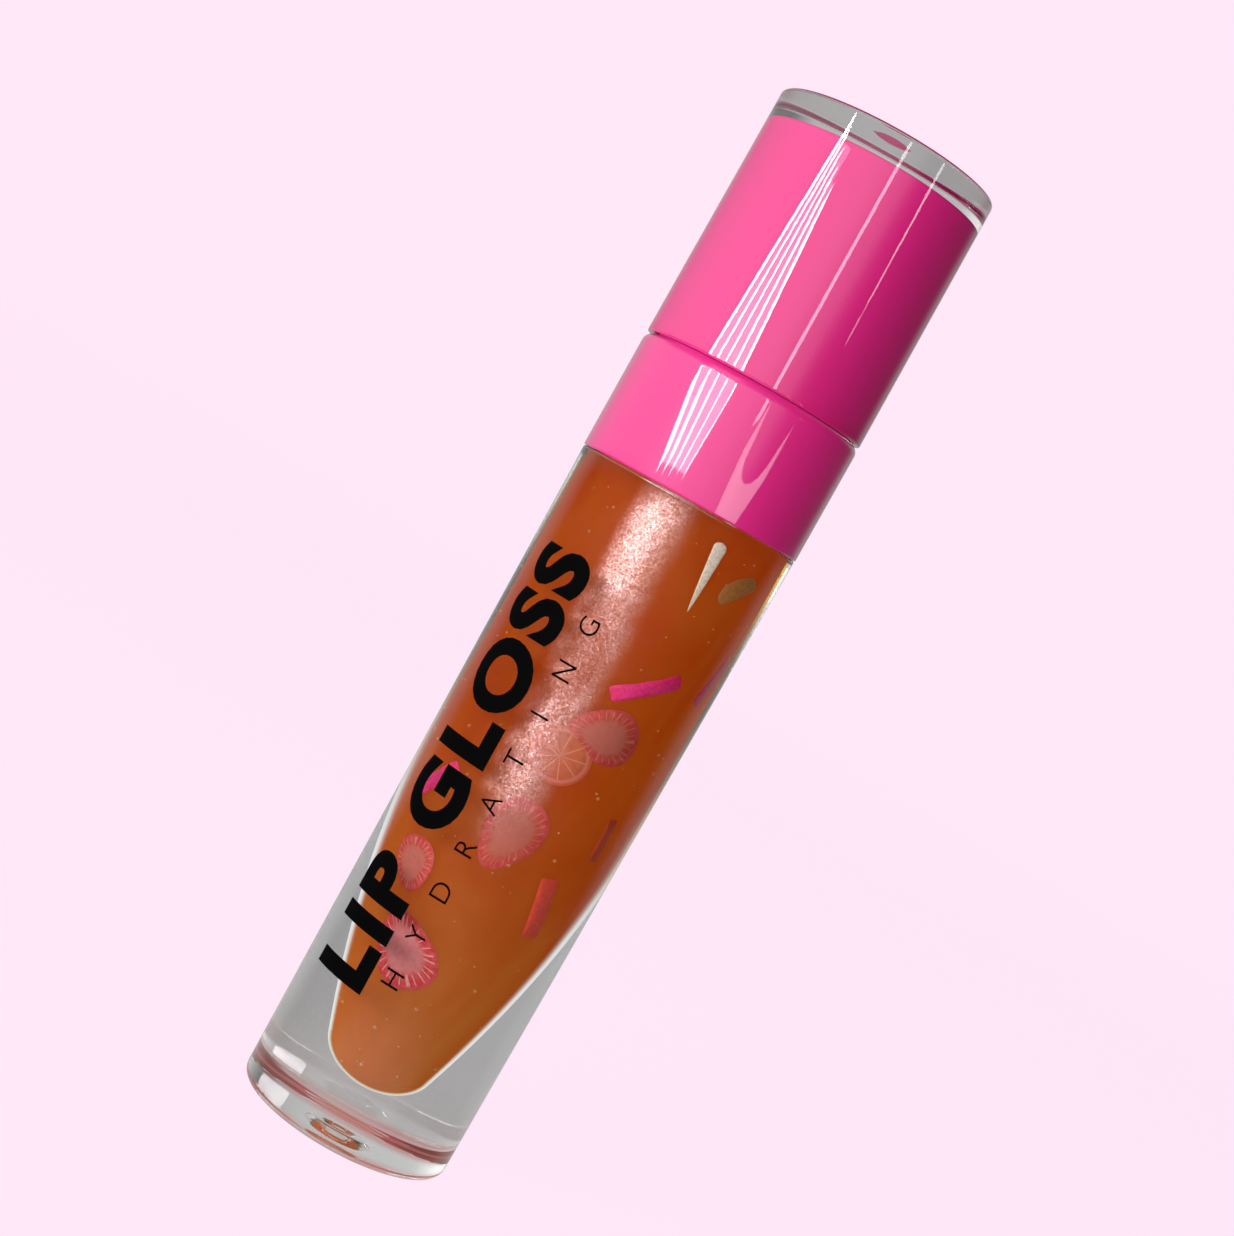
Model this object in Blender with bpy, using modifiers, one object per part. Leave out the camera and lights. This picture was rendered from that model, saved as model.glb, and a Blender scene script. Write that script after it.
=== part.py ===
"""A lip gloss tube: a thick clear bottle of fruit-filled gloss, a collar, and a two-layer screw cap with its wand.

Lengths in this file are millimetres, turned into metres where a point is made. The tube stands on
its base at the origin, with +Z up its axis. Azimuths are measured round +Z from the front, which is -Y,
towards +X.
"""

import bmesh
import bpy
from math import cos, hypot, pi, radians, sin
from mathutils import Matrix, Vector

MM = 0.001

# Driving dimensions.
TUBE_DIAMETER = 22.0
TOTAL_HEIGHT = 101.85
CAP_HEIGHT = 24.5
COLLAR_HEIGHT = 11.45
WALL = 1.2
GAP = 0.3

# Heights that follow from them.
CAP_BOTTOM = TOTAL_HEIGHT - CAP_HEIGHT
COLLAR_TOP = CAP_BOTTOM - GAP
COLLAR_BOTTOM = COLLAR_TOP - COLLAR_HEIGHT
SHOULDER = COLLAR_BOTTOM - GAP
INNER_CAP_TOP = TOTAL_HEIGHT - 2.75

# Outer radii: every moulded piece has a little draft.
TUBE_RADIUS = TUBE_DIAMETER / 2
BASE_RADIUS = TUBE_RADIUS - 0.64
SHOULDER_RADIUS = TUBE_RADIUS - 0.07
CAP_BOTTOM_RADIUS = TUBE_RADIUS - 0.02
CAP_TOP_RADIUS = TUBE_RADIUS - 0.17

# The cavity: a bullet with a ball end that opens towards the neck.
CAVITY_RADIUS = 6.85
BALL_RADIUS = 3.25
BALL_CENTRE = 8.2
CAVITY_TAPER = 26.0
TAPER_POWER = 1.75
CAVITY_SHOULDER = SHOULDER + 4.4
NECK_BOTTOM = CAVITY_SHOULDER + 1.6

# The cap's layers, each one GAP inside the last.
INNER_CAP_RADIUS = TUBE_RADIUS - WALL - GAP
INNER_CAP_WALL = 0.8
HOLDER_RADIUS = INNER_CAP_RADIUS - INNER_CAP_WALL - GAP
HOLDER_BORE = HOLDER_RADIUS - 0.85
SOCKET_RADIUS = 3.3

# The screw thread. Ridges of cap and neck pass each other, so their crests are GAP apart.
THREAD_DEPTH = 0.35
THREAD_PITCH = 3.0
THREAD_TURNS = 1.5
NECK_THREAD_Z = 79.8
CAP_THREAD_Z = 81.3
NECK_RADIUS = HOLDER_BORE - 2 * THREAD_DEPTH - GAP
NECK_WALL = 1.15
NECK_BORE = NECK_RADIUS - NECK_WALL
NECK_TOP = 87.0
SEAT_RADIUS = 9.0
SEAT_TOP = COLLAR_TOP - 2.05

# The wand and the way it takes through the wiper and the gloss.
STEM_RADIUS = 1.75
TIP_RADIUS = 2.0
TIP_BOTTOM = 23.3
TIP_LENGTH = 10.7
WAND_BORE = TIP_RADIUS + 0.35
PIN_RADIUS = 0.8
GLOSS_TOP = 68.0

# Round pieces.
OUTER_STEPS = 48
INNER_STEPS = 32
SMOOTH_ANGLE = radians(35)


def clear_scene():
    for obj in list(bpy.data.objects):
        bpy.data.objects.remove(obj, do_unlink=True)
    for collection in list(bpy.data.collections):
        bpy.data.collections.remove(collection)


def new_collection(name):
    collection = bpy.data.collections.new(name)
    bpy.context.scene.collection.children.link(collection)
    return collection


def material(name, colour, roughness, transmission=0.0, alpha=1.0):
    mat = bpy.data.materials.new(name)
    mat.use_nodes = True
    shader = mat.node_tree.nodes["Principled BSDF"]
    shader.inputs["Base Color"].default_value = (*colour, 1.0)
    shader.inputs["Roughness"].default_value = roughness
    shader.inputs["Metallic"].default_value = 0.0
    shader.inputs["Transmission Weight"].default_value = transmission
    shader.inputs["Alpha"].default_value = alpha
    mat.diffuse_color = (*colour, alpha)
    return mat


clear_scene()
PARTS = new_collection("lip_gloss_tube")
CUTTERS = new_collection("cutters")

CLEAR = material("clear_plastic", (0.93, 0.93, 0.95), 0.05, transmission=1.0, alpha=0.35)
PINK = material("pink_plastic", (0.90, 0.12, 0.36), 0.15)
GLOSS = material("amber_gloss", (0.62, 0.16, 0.02), 0.12)
WHITE = material("white_plastic", (0.86, 0.86, 0.84), 0.4)
FOAM = material("liner_foam", (0.80, 0.80, 0.78), 0.8)
FLOCK = material("applicator_flock", (0.90, 0.80, 0.76), 0.9)
STRAWBERRY = material("strawberry_clay", (0.72, 0.06, 0.08), 0.5)
ORANGE = material("orange_clay", (0.90, 0.34, 0.10), 0.5)
LEMON = material("lemon_clay", (0.80, 0.62, 0.25), 0.5)
STICK = material("magenta_clay", (0.75, 0.03, 0.28), 0.5)


def finish(obj, mat, collection=PARTS):
    """Files a new object in its collection with its material, shaded smooth across shallow edges."""
    for old in list(obj.users_collection):
        old.objects.unlink(obj)
    collection.objects.link(obj)
    if mat:
        obj.data.materials.append(mat)
    if obj.type == "MESH":
        obj.data.shade_smooth()
        obj.data.set_sharp_from_angle(angle=SMOOTH_ANGLE)
    if collection == CUTTERS:
        obj.hide_render = True
        obj.display_type = "WIRE"
    return obj


def arc(centre_r, centre_z, radius, start, end, pieces=4):
    """Points of an arc in the profile plane, by angle in degrees from +R towards +Z."""
    angles = [radians(start + (end - start) * i / pieces) for i in range(pieces + 1)]
    return [(centre_r + radius * cos(a), centre_z + radius * sin(a)) for a in angles]


def turned(name, profile, mat, steps, ring=False, collection=PARTS):
    """A solid of revolution. A ring's profile is a closed loop; any other starts and ends on the axis."""
    points = [(r * MM, 0, z * MM) for r, z in profile]
    edges = [(i, i + 1) for i in range(len(points) - 1)]
    if ring:
        edges.append((len(points) - 1, 0))
    mesh = bpy.data.meshes.new(name)
    mesh.from_pydata(points, edges, [])
    obj = bpy.data.objects.new(name, mesh)
    screw = obj.modifiers.new("turn", "SCREW")
    screw.steps = screw.render_steps = steps
    screw.use_merge_vertices = True
    screw.merge_threshold = 0.00001
    screw.use_smooth_shade = True
    return finish(obj, mat, collection)


def combine(target, other, operation):
    boolean = target.modifiers.new(f"{operation.lower()}_{other.name}", "BOOLEAN")
    boolean.operation = operation
    boolean.solver = "EXACT"
    boolean.object = other


def as_mesh(curve, mat, collection):
    """Replaces a curve object by its own closed mesh."""
    bpy.context.view_layer.update()
    graph = bpy.context.evaluated_depsgraph_get()
    mesh = bpy.data.meshes.new_from_object(curve.evaluated_get(graph))
    work = bmesh.new()
    work.from_mesh(mesh)
    bmesh.ops.remove_doubles(work, verts=work.verts, dist=0.000001)
    bmesh.ops.recalc_face_normals(work, faces=work.faces)
    work.to_mesh(mesh)
    work.free()
    name, place = curve.name, curve.matrix_world.copy()
    bpy.data.objects.remove(curve, do_unlink=True)
    mesh.name = name
    obj = bpy.data.objects.new(name, mesh)
    obj.matrix_world = place
    mesh.materials.clear()
    return finish(obj, mat, collection)


def helix_ridge(name, radius, start_z):
    """One screw thread ridge, as a bead that winds round the axis."""
    per_turn = 20
    count = int(THREAD_TURNS * per_turn) + 1
    curve = bpy.data.curves.new(name, "CURVE")
    curve.dimensions = "3D"
    curve.bevel_depth = THREAD_DEPTH * MM
    curve.bevel_resolution = 1
    curve.use_fill_caps = True
    spline = curve.splines.new("POLY")
    spline.points.add(count - 1)
    for i, point in enumerate(spline.points):
        turn = i / per_turn
        angle = 2 * pi * turn
        z = start_z + THREAD_PITCH * turn
        point.co = (radius * cos(angle) * MM, radius * sin(angle) * MM, z * MM, 1)
    obj = bpy.data.objects.new(name, curve)
    CUTTERS.objects.link(obj)
    return as_mesh(obj, None, CUTTERS)


def cavity_radius(z):
    """Radius of the bottle's cavity at height z: a ball end, then a taper eased into a straight wall."""
    if z < BALL_CENTRE:
        return max(BALL_RADIUS**2 - (BALL_CENTRE - z) ** 2, 0.0) ** 0.5
    share = min((z - BALL_CENTRE) / CAVITY_TAPER, 1.0)
    return BALL_RADIUS + (CAVITY_RADIUS - BALL_RADIUS) * (1 - (1 - share) ** TAPER_POWER)


def cavity_profile(inset):
    """The bullet from its tip on the axis up to where the wall runs straight, inset by a distance."""
    ball = BALL_RADIUS - inset
    outline = [(0, BALL_CENTRE - ball)] + arc(0, BALL_CENTRE, ball, -75, 0, 5)
    heights = [BALL_CENTRE + CAVITY_TAPER * share for share in TAPER_SHARES]
    return outline + [(cavity_radius(z) - inset, z) for z in heights]


TAPER_SHARES = (0.12, 0.26, 0.42, 0.6, 0.8, 1.0)


def make_bottle():
    """Clear thick-walled bottle, with the seat for the collar and a threaded neck."""
    profile = cavity_profile(0)
    profile += [(CAVITY_RADIUS, CAVITY_SHOULDER), (NECK_BORE, NECK_BOTTOM), (NECK_BORE, NECK_TOP)]
    profile += [(NECK_RADIUS - 0.3, NECK_TOP), (NECK_RADIUS, NECK_TOP - 0.3)]
    profile += [(NECK_RADIUS, SEAT_TOP), (SEAT_RADIUS, SEAT_TOP), (SEAT_RADIUS, SHOULDER)]
    profile += [(SHOULDER_RADIUS - 0.2, SHOULDER), (SHOULDER_RADIUS, SHOULDER - 0.2)]
    profile += arc(BASE_RADIUS - 1.0, 1.0, 1.0, 0, -90)
    profile += [(1.7, 0), (1.4, 0.4), (0, 0.4)]
    bottle = turned("bottle", profile, CLEAR, OUTER_STEPS)
    combine(bottle, helix_ridge("neck_thread", NECK_RADIUS, NECK_THREAD_Z), "UNION")


def make_collar():
    """Pink sleeve that sits on the shoulder and hides the joint between bottle and neck."""
    profile = [(NECK_RADIUS + 0.65, COLLAR_TOP)]
    profile += arc(TUBE_RADIUS - 0.9, COLLAR_TOP - 0.9, 0.9, 90, 0)
    profile += [(TUBE_RADIUS, COLLAR_BOTTOM + 0.2), (TUBE_RADIUS - 0.2, COLLAR_BOTTOM)]
    profile += [(SEAT_RADIUS + GAP, COLLAR_BOTTOM), (SEAT_RADIUS + GAP, SEAT_TOP + GAP)]
    profile += [(NECK_RADIUS + 0.65, SEAT_TOP + GAP)]
    turned("collar_ring", profile, PINK, OUTER_STEPS, ring=True)


def make_wiper():
    """Soft insert in the neck that strips spare gloss off the wand."""
    sleeve = NECK_BORE - GAP
    bottom = 73.5
    rim = NECK_TOP + GAP
    profile = [(NECK_RADIUS - 0.15, rim + 0.8), (NECK_RADIUS - 0.15, rim), (sleeve, rim)]
    profile += [(sleeve, bottom + 4.0), (WAND_BORE + 0.6, bottom), (WAND_BORE, bottom)]
    profile += [(sleeve - 0.8, bottom + 4.4), (sleeve - 0.8, rim + 0.8)]
    turned("wiper", profile, WHITE, INNER_STEPS, ring=True)


def make_cap_shell():
    """Clear outer cap: a straight cup upside down, with the gate mark in the middle of its top."""
    roof = INNER_CAP_TOP + GAP
    profile = [(0, TOTAL_HEIGHT - 0.35), (0.8, TOTAL_HEIGHT - 0.25), (1.25, TOTAL_HEIGHT)]
    profile += arc(CAP_TOP_RADIUS - 0.8, TOTAL_HEIGHT - 0.8, 0.8, 90, 0)
    profile += [(CAP_BOTTOM_RADIUS, CAP_BOTTOM + 0.2), (CAP_BOTTOM_RADIUS - 0.2, CAP_BOTTOM)]
    profile += [(TUBE_RADIUS - WALL, CAP_BOTTOM), (TUBE_RADIUS - WALL, roof), (0, roof)]
    turned("outer_cap", profile, CLEAR, OUTER_STEPS)


def make_inner_cap():
    """Pink cup that gives the clear shell its colour."""
    bottom = CAP_BOTTOM + GAP
    inside = INNER_CAP_RADIUS - INNER_CAP_WALL
    roof = INNER_CAP_TOP - 1.2
    profile = [(0, INNER_CAP_TOP)]
    profile += arc(INNER_CAP_RADIUS - 0.5, INNER_CAP_TOP - 0.5, 0.5, 90, 0, 2)
    profile += [(INNER_CAP_RADIUS, bottom), (inside, bottom), (inside, roof), (0, roof)]
    turned("inner_cap", profile, PINK, OUTER_STEPS)


def make_wand_holder():
    """Threaded insert of the cap, with the socket and ribs that hold the wand."""
    top = INNER_CAP_TOP - 1.5
    floor = 89.5
    plate = floor + 1.5
    hole = STEM_RADIUS + GAP
    bottom = CAP_BOTTOM + 2 * GAP
    profile = [(hole, top), (SOCKET_RADIUS, top), (SOCKET_RADIUS, plate), (HOLDER_BORE, plate)]
    profile += [(HOLDER_BORE, top), (HOLDER_RADIUS, top), (HOLDER_RADIUS, bottom)]
    profile += [(HOLDER_BORE, bottom), (HOLDER_BORE, floor), (hole, floor)]
    holder = turned("wand_holder", profile, WHITE, INNER_STEPS, ring=True)
    combine(holder, helix_ridge("cap_thread", HOLDER_BORE, CAP_THREAD_Z), "UNION")
    combine(holder, make_ribs(plate, top - 1.0), "UNION")


def make_ribs(bottom, top):
    """Four radial ribs between the socket and the wall, reaching a little into both and into the plate."""
    bite = 0.2
    inner, outer = SOCKET_RADIUS - bite, HOLDER_BORE + bite
    length, height = outer - inner, top - bottom + bite
    mesh = bpy.data.meshes.new("holder_ribs")
    work = bmesh.new()
    for quarter in range(4):
        turn = Matrix.Rotation(quarter * pi / 2, 4, "Z")
        middle = Vector(((inner + outer) / 2, 0, bottom - bite + height / 2)) * MM
        size = Matrix.Diagonal((length * MM, 0.9 * MM, height * MM, 1))
        bmesh.ops.create_cube(work, size=1, matrix=turn @ Matrix.Translation(middle) @ size)
    work.to_mesh(mesh)
    work.free()
    return finish(bpy.data.objects.new("holder_ribs", mesh), None, CUTTERS)


def make_liner():
    """Foam washer that seals the cap on the wiper's rim."""
    bottom = NECK_TOP + 2 * GAP + 0.8
    inner, outer = STEM_RADIUS + GAP, NECK_RADIUS + 0.35
    profile = [(inner, bottom + 0.8), (outer, bottom + 0.8), (outer, bottom), (inner, bottom)]
    turned("cap_liner", profile, FOAM, INNER_STEPS, ring=True)


def make_wand():
    """Stem pressed into the holder, and the slanted applicator on the pin at its lower end."""
    joint = TIP_BOTTOM + TIP_LENGTH
    pin_end = joint - 4.0
    stem_top = INNER_CAP_TOP - 2.1
    stem = [(0, stem_top), (STEM_RADIUS - 0.3, stem_top), (STEM_RADIUS, stem_top - 0.3)]
    stem += [(STEM_RADIUS, joint + GAP), (PIN_RADIUS, joint + GAP), (PIN_RADIUS, pin_end), (0, pin_end)]
    turned("wand_stem", stem, WHITE, INNER_STEPS)
    tip = [(0, pin_end - GAP), (PIN_RADIUS + GAP, pin_end - GAP), (PIN_RADIUS + GAP, joint)]
    tip += [(TIP_RADIUS - 0.1, joint), (TIP_RADIUS, joint - 0.4)]
    tip += arc(0, TIP_BOTTOM + TIP_RADIUS, TIP_RADIUS, 0, -90)
    applicator = turned("applicator_tip", tip, FLOCK, INNER_STEPS)
    combine(applicator, make_tip_cutter(), "DIFFERENCE")


def make_tip_cutter():
    """A block whose face slants across the lower end of the applicator."""
    size = 16.0
    mesh = bpy.data.meshes.new("tip_slant")
    work = bmesh.new()
    bmesh.ops.create_cube(work, size=size * MM)
    work.to_mesh(mesh)
    work.free()
    block = bpy.data.objects.new("tip_slant", mesh)
    slant = Matrix.Rotation(radians(19), 4, "Y")
    start = Matrix.Translation(Vector((-0.6, 0, TIP_BOTTOM)) * MM)
    block.matrix_world = start @ slant @ Matrix.Translation(Vector((size / 2, 0, 0)) * MM)
    return finish(block, None, CUTTERS)


def strawberry(length, width, grow=0.0):
    """Outline of a strawberry slice, its point towards -Y."""
    half, side = length / 2 + grow, width / 2 + grow
    angles = [2 * pi * i / 22 for i in range(22)]
    return [(side * sin(a) * (0.86 - 0.26 * cos(a)), -half * cos(a)) for a in angles]


def disc(length, width, grow=0.0):
    """Outline of a whole slice of fruit."""
    angles = [2 * pi * i / 24 for i in range(24)]
    return [((width / 2 + grow) * sin(a), -(length / 2 + grow) * cos(a)) for a in angles]


def wedge(length, width, grow=0.0):
    """Outline of a segment of fruit: a straight cut side, and a round peel side towards +Y."""
    half, side = length / 2 + grow, width / 2 + grow
    peel = [(side * cos(a), -half + 2 * half * sin(a)) for a in [pi * i / 12 for i in range(13)]]
    return peel


def stick(length, width, grow=0.0):
    """Outline of a short rod along Y with bevelled ends."""
    half, side = length / 2 + grow, width / 2 + grow
    cut = 0.35
    right = [(side - cut, -half), (side, cut - half), (side, half - cut), (side - cut, half)]
    return right + [(-x, -y) for x, y in right]


OUTLINES = {"strawberry_slice": strawberry, "orange_slice": disc, "lemon_wedge": wedge, "fruit_stick": stick}
FRUIT_MATERIALS = {
    "strawberry_slice": STRAWBERRY,
    "orange_slice": ORANGE,
    "lemon_wedge": LEMON,
    "fruit_stick": STICK,
}

# Kind, height, azimuth, roll, length, width, thickness and how far in from the wall it floats.
FRUIT = [
    ("strawberry_slice", 43.6, 27, -75, 6.2, 5.8, 0.8, 1.2),
    ("strawberry_slice", 32.0, 4, -11, 7.4, 5.4, 0.8, 0),
    ("strawberry_slice", 18.2, -25, 211, 7.0, 6.0, 0.8, 0),
    ("strawberry_slice", 25.2, -50, 20, 5.0, 4.6, 0.7, 0.6),
    ("strawberry_slice", 52.0, -150, 35, 6.6, 5.4, 0.8, 0),
    ("orange_slice", 40.3, 7, 20, 5.3, 5.3, 0.7, 0),
    ("orange_slice", 36.0, 172, 0, 5.3, 5.3, 0.7, 0),
    ("lemon_wedge", 60.4, 66, 40, 2.6, 4.4, 0.8, 0.5),
    ("fruit_stick", 49.1, 38, -54, 7.2, 1.6, 1.6, 0),
    ("fruit_stick", 52.3, 97, -20, 6.4, 1.6, 1.6, 0),
    ("fruit_stick", 32.4, -68, -40, 6.6, 1.7, 1.6, 0),
    ("fruit_stick", 27.2, 52, 14, 6.6, 1.9, 1.6, 0.4),
    ("fruit_stick", 35.0, 71, 2, 4.8, 1.3, 1.2, 0.8),
    ("fruit_stick", 25.0, 158, 40, 6.4, 1.6, 1.6, 0),
]


def flat_solid(name, outline, bottom, top, place, mat, collection):
    """A flat outline made solid between two heights above its own plane, and put in place."""
    curve = bpy.data.curves.new(name, "CURVE")
    curve.dimensions = "2D"
    curve.fill_mode = "BOTH"
    curve.extrude = (top - bottom) / 2 * MM
    spline = curve.splines.new("POLY")
    spline.points.add(len(outline) - 1)
    for point, (x, y) in zip(spline.points, outline):
        point.co = (x * MM, y * MM, 0, 1)
    spline.use_cyclic_u = True
    obj = bpy.data.objects.new(name, curve)
    CUTTERS.objects.link(obj)
    obj.matrix_world = place @ Matrix.Translation((0, 0, (bottom + top) / 2 * MM))
    return as_mesh(obj, mat, collection)


def wall_frame(z, azimuth, roll, distance):
    """A frame on the cavity's wall: local +Z out of the wall, local +Y up it, turned by roll."""
    lean = (cavity_radius(z + 1) - cavity_radius(z - 1)) / 2
    out = Matrix.Rotation(radians(azimuth), 4, "Z")
    shift = Matrix.Translation(Vector((0, -distance, z)) * MM)
    upright = Matrix.Rotation(lean + pi / 2, 4, "X")
    return out @ shift @ upright @ Matrix.Rotation(radians(roll), 4, "Z")


def outermost(outline, thickness, z, azimuth, roll):
    """The distance from the axis at which a flat piece just clears the cavity's wall."""
    step = 0.02
    distance = cavity_radius(z)
    while distance > 0:
        place = wall_frame(z, azimuth, roll, distance)
        corners = [place @ Vector((x * MM, y * MM, thickness / 2 * MM)) / MM for x, y in outline]
        if all(hypot(c.x, c.y) < cavity_radius(c.z) - GAP for c in corners):
            return distance
        distance -= step
    return 0.0


def make_gloss_and_fruit():
    """Gloss that fills the cavity, with the wand's way down its middle and a pocket for each piece of fruit."""
    profile = [(0, TIP_BOTTOM - 0.4), (WAND_BORE, TIP_BOTTOM - 0.4), (WAND_BORE, GLOSS_TOP)]
    profile += [(CAVITY_RADIUS - GAP, GLOSS_TOP)]
    profile += reversed(cavity_profile(GAP))
    gloss = turned("gloss_fill", profile, GLOSS, INNER_STEPS)
    counts = {}
    for kind, z, azimuth, roll, length, width, thickness, depth in FRUIT:
        counts[kind] = counts.get(kind, 0) + 1
        name = f"{kind}_{counts[kind]}"
        outline = OUTLINES[kind](length, width)
        distance = outermost(outline, thickness, z, azimuth, roll) - depth
        place = wall_frame(z, azimuth, roll, distance)
        half = thickness / 2
        flat_solid(name, outline, -half, half, place, FRUIT_MATERIALS[kind], PARTS)
        mouth = OUTLINES[kind](length, width, GAP)
        reach = cavity_radius(z) - distance + 2.5
        pocket = flat_solid(f"pocket_{name}", mouth, -half - GAP, reach, place, None, CUTTERS)
        combine(gloss, pocket, "DIFFERENCE")


make_bottle()
make_collar()
make_wiper()
make_gloss_and_fruit()
make_liner()
make_cap_shell()
make_inner_cap()
make_wand_holder()
make_wand()
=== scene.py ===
"""Looks of the lip gloss tube: fine meshes, materials, print, fruit, bubbles and studio.

Lengths are millimetres in the mesh code, and metres in the materials and the studio. Azimuths are
degrees round +Z, from the front (-Y) towards +X.
"""

import random
from math import atan2, ceil, copysign, cos, degrees, hypot, pi, radians, sin, sqrt

import bmesh
import bpy
from mathutils import Matrix, Vector


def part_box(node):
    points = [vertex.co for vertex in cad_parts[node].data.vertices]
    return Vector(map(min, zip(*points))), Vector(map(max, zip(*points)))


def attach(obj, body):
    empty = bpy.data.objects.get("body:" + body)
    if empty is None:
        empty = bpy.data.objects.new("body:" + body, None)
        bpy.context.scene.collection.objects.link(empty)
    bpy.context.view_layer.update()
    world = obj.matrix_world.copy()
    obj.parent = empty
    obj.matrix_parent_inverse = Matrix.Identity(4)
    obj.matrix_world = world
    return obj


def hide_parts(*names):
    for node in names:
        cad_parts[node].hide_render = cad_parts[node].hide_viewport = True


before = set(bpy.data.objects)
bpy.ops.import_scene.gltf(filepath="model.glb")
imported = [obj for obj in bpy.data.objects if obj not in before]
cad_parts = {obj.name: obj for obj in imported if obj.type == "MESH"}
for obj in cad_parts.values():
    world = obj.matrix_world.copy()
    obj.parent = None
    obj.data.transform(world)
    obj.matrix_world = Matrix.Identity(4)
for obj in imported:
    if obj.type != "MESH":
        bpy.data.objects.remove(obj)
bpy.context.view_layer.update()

MM = 0.001
TUBE, CAP, STEM, LINER = "tube", "cap", "stem", "liner"


def top_of(node):
    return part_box(node)[1].z / MM


def bottom_of(node):
    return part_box(node)[0].z / MM


def radius_of(node):
    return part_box(node)[1].x / MM


# Heights and radii read from the frame.
TOTAL_HEIGHT = top_of("outer_cap")
CAP_BOTTOM = bottom_of("outer_cap")
COLLAR_TOP = top_of("collar_ring")
COLLAR_BOTTOM = bottom_of("collar_ring")
GAP = CAP_BOTTOM - COLLAR_TOP
SHOULDER = COLLAR_BOTTOM - GAP
NECK_TOP = top_of("bottle")
INNER_CAP_TOP = top_of("inner_cap")
TUBE_RADIUS = radius_of("collar_ring")
INNER_CAP_RADIUS = radius_of("inner_cap")
WIPER_RADIUS = radius_of("wiper")

# Radii that follow from the tube's radius, as in the CAD.
BASE_RADIUS = TUBE_RADIUS - 0.64
BASE_EDGE = 1.0
SHOULDER_RADIUS = TUBE_RADIUS - 0.07
CAP_BOTTOM_RADIUS = TUBE_RADIUS - 0.02
CAP_TOP_RADIUS = TUBE_RADIUS - 0.17
CAP_BORE = INNER_CAP_RADIUS + GAP
NECK_RADIUS = WIPER_RADIUS + 0.15
NECK_BORE = NECK_RADIUS - 1.15
SEAT_RADIUS = 9.0
SEAT_TOP = COLLAR_TOP - 2.05
WAND_BORE = 2.35
GLOSS_TOP = top_of("gloss_fill")
BORE_BOTTOM = bottom_of("applicator_tip") - 0.4

# The bullet-shaped cavity: a ball end, then a taper that eases into a straight wall.
CAVITY_RADIUS = 6.85
CAVITY_FOOT = 3.25
TAPER_START = 7.5
CAVITY_TAPER = 26.7
TAPER_POWER = 1.75
# The ball meets the taper with the taper's own slope.
TAPER_SLOPE = TAPER_POWER * (CAVITY_RADIUS - CAVITY_FOOT) / CAVITY_TAPER
BALL_RADIUS = CAVITY_FOOT * sqrt(1 + TAPER_SLOPE**2)
BALL_CENTRE = TAPER_START + CAVITY_FOOT * TAPER_SLOPE
CAVITY_SHOULDER = SHOULDER + 4.4
NECK_BOTTOM = CAVITY_SHOULDER + 1.6

# Facets round a turned piece.
FINE_STEPS = 160
GLOSS_STEPS = 128

PLASTIC_IOR = 1.57
GLOSS_IOR = 1.56


# ---------------------------------------------------------------- node helpers


def node(tree, kind, inputs=None, **settings):
    """A shader node with its settings, and its inputs set to values or linked to sockets."""
    made = tree.nodes.new(kind)
    for name, value in settings.items():
        setattr(made, name, value)
    for name, value in (inputs or {}).items():
        if isinstance(value, bpy.types.NodeSocket):
            tree.links.new(value, made.inputs[name])
        else:
            made.inputs[name].default_value = value
    return made


def maths(tree, operation, a, b=0.0):
    return node(tree, "ShaderNodeMath", {0: a, 1: b}, operation=operation).outputs[0]


def vectors(tree, operation, inputs):
    return node(tree, "ShaderNodeVectorMath", inputs, operation=operation).outputs[0]


def times(tree, first, *others):
    for other in others:
        first = maths(tree, "MULTIPLY", first, other)
    return first


def mixed(tree, factor, a, b):
    """A colour between two colours, each a socket or (r, g, b)."""
    made = node(tree, "ShaderNodeMix", data_type="RGBA")
    for socket, value in ((made.inputs[0], factor), (made.inputs[6], a), (made.inputs[7], b)):
        if isinstance(value, bpy.types.NodeSocket):
            tree.links.new(value, socket)
        elif isinstance(value, tuple):
            socket.default_value = (*value, 1.0)
        else:
            socket.default_value = value
    return made.outputs[2]


def ramp(tree, value, low, high, start=0.0, end=1.0):
    """value spread from [low, high] to [start, end], smoothly and clamped."""
    inputs = {"Value": value, "From Min": low, "From Max": high, "To Min": start, "To Max": end}
    made = node(tree, "ShaderNodeMapRange", inputs, interpolation_type="SMOOTHSTEP")
    return made.outputs[0]


def clouds(tree, vector, scale, detail=3.0, roughness=0.5, distortion=0.0):
    inputs = {"Vector": vector, "Scale": scale, "Detail": detail, "Roughness": roughness}
    inputs["Distortion"] = distortion
    return node(tree, "ShaderNodeTexNoise", inputs).outputs[0]


def place(tree):
    """Position in the piece's own frame, in metres."""
    return node(tree, "ShaderNodeTexCoord").outputs["Object"]


def xyz(tree, vector):
    """The three parts of a vector."""
    return node(tree, "ShaderNodeSeparateXYZ", {0: vector}).outputs


def stretched(tree, vector, scale):
    inputs = {"Vector": vector, "Scale": scale}
    return node(tree, "ShaderNodeMapping", inputs).outputs[0]


def bump(tree, height, distance, strength=1.0):
    inputs = {"Height": height, "Distance": distance, "Strength": strength}
    return node(tree, "ShaderNodeBump", inputs).outputs[0]


def principled(tree, colour, roughness, **more):
    """A Principled shader; more maps socket names, with _ for spaces, to values or sockets."""
    inputs = {"Base Color": colour, "Roughness": roughness}
    inputs.update({name.replace("_", " "): value for name, value in more.items()})
    for name, value in inputs.items():
        if isinstance(value, tuple) and len(value) == 3 and "Color" in name:
            inputs[name] = (*value, 1.0)
    return node(tree, "ShaderNodeBsdfPrincipled", inputs)


def blended(tree, factor, a, b):
    return node(tree, "ShaderNodeMixShader", {0: factor, 1: a, 2: b}).outputs[0]


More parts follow.
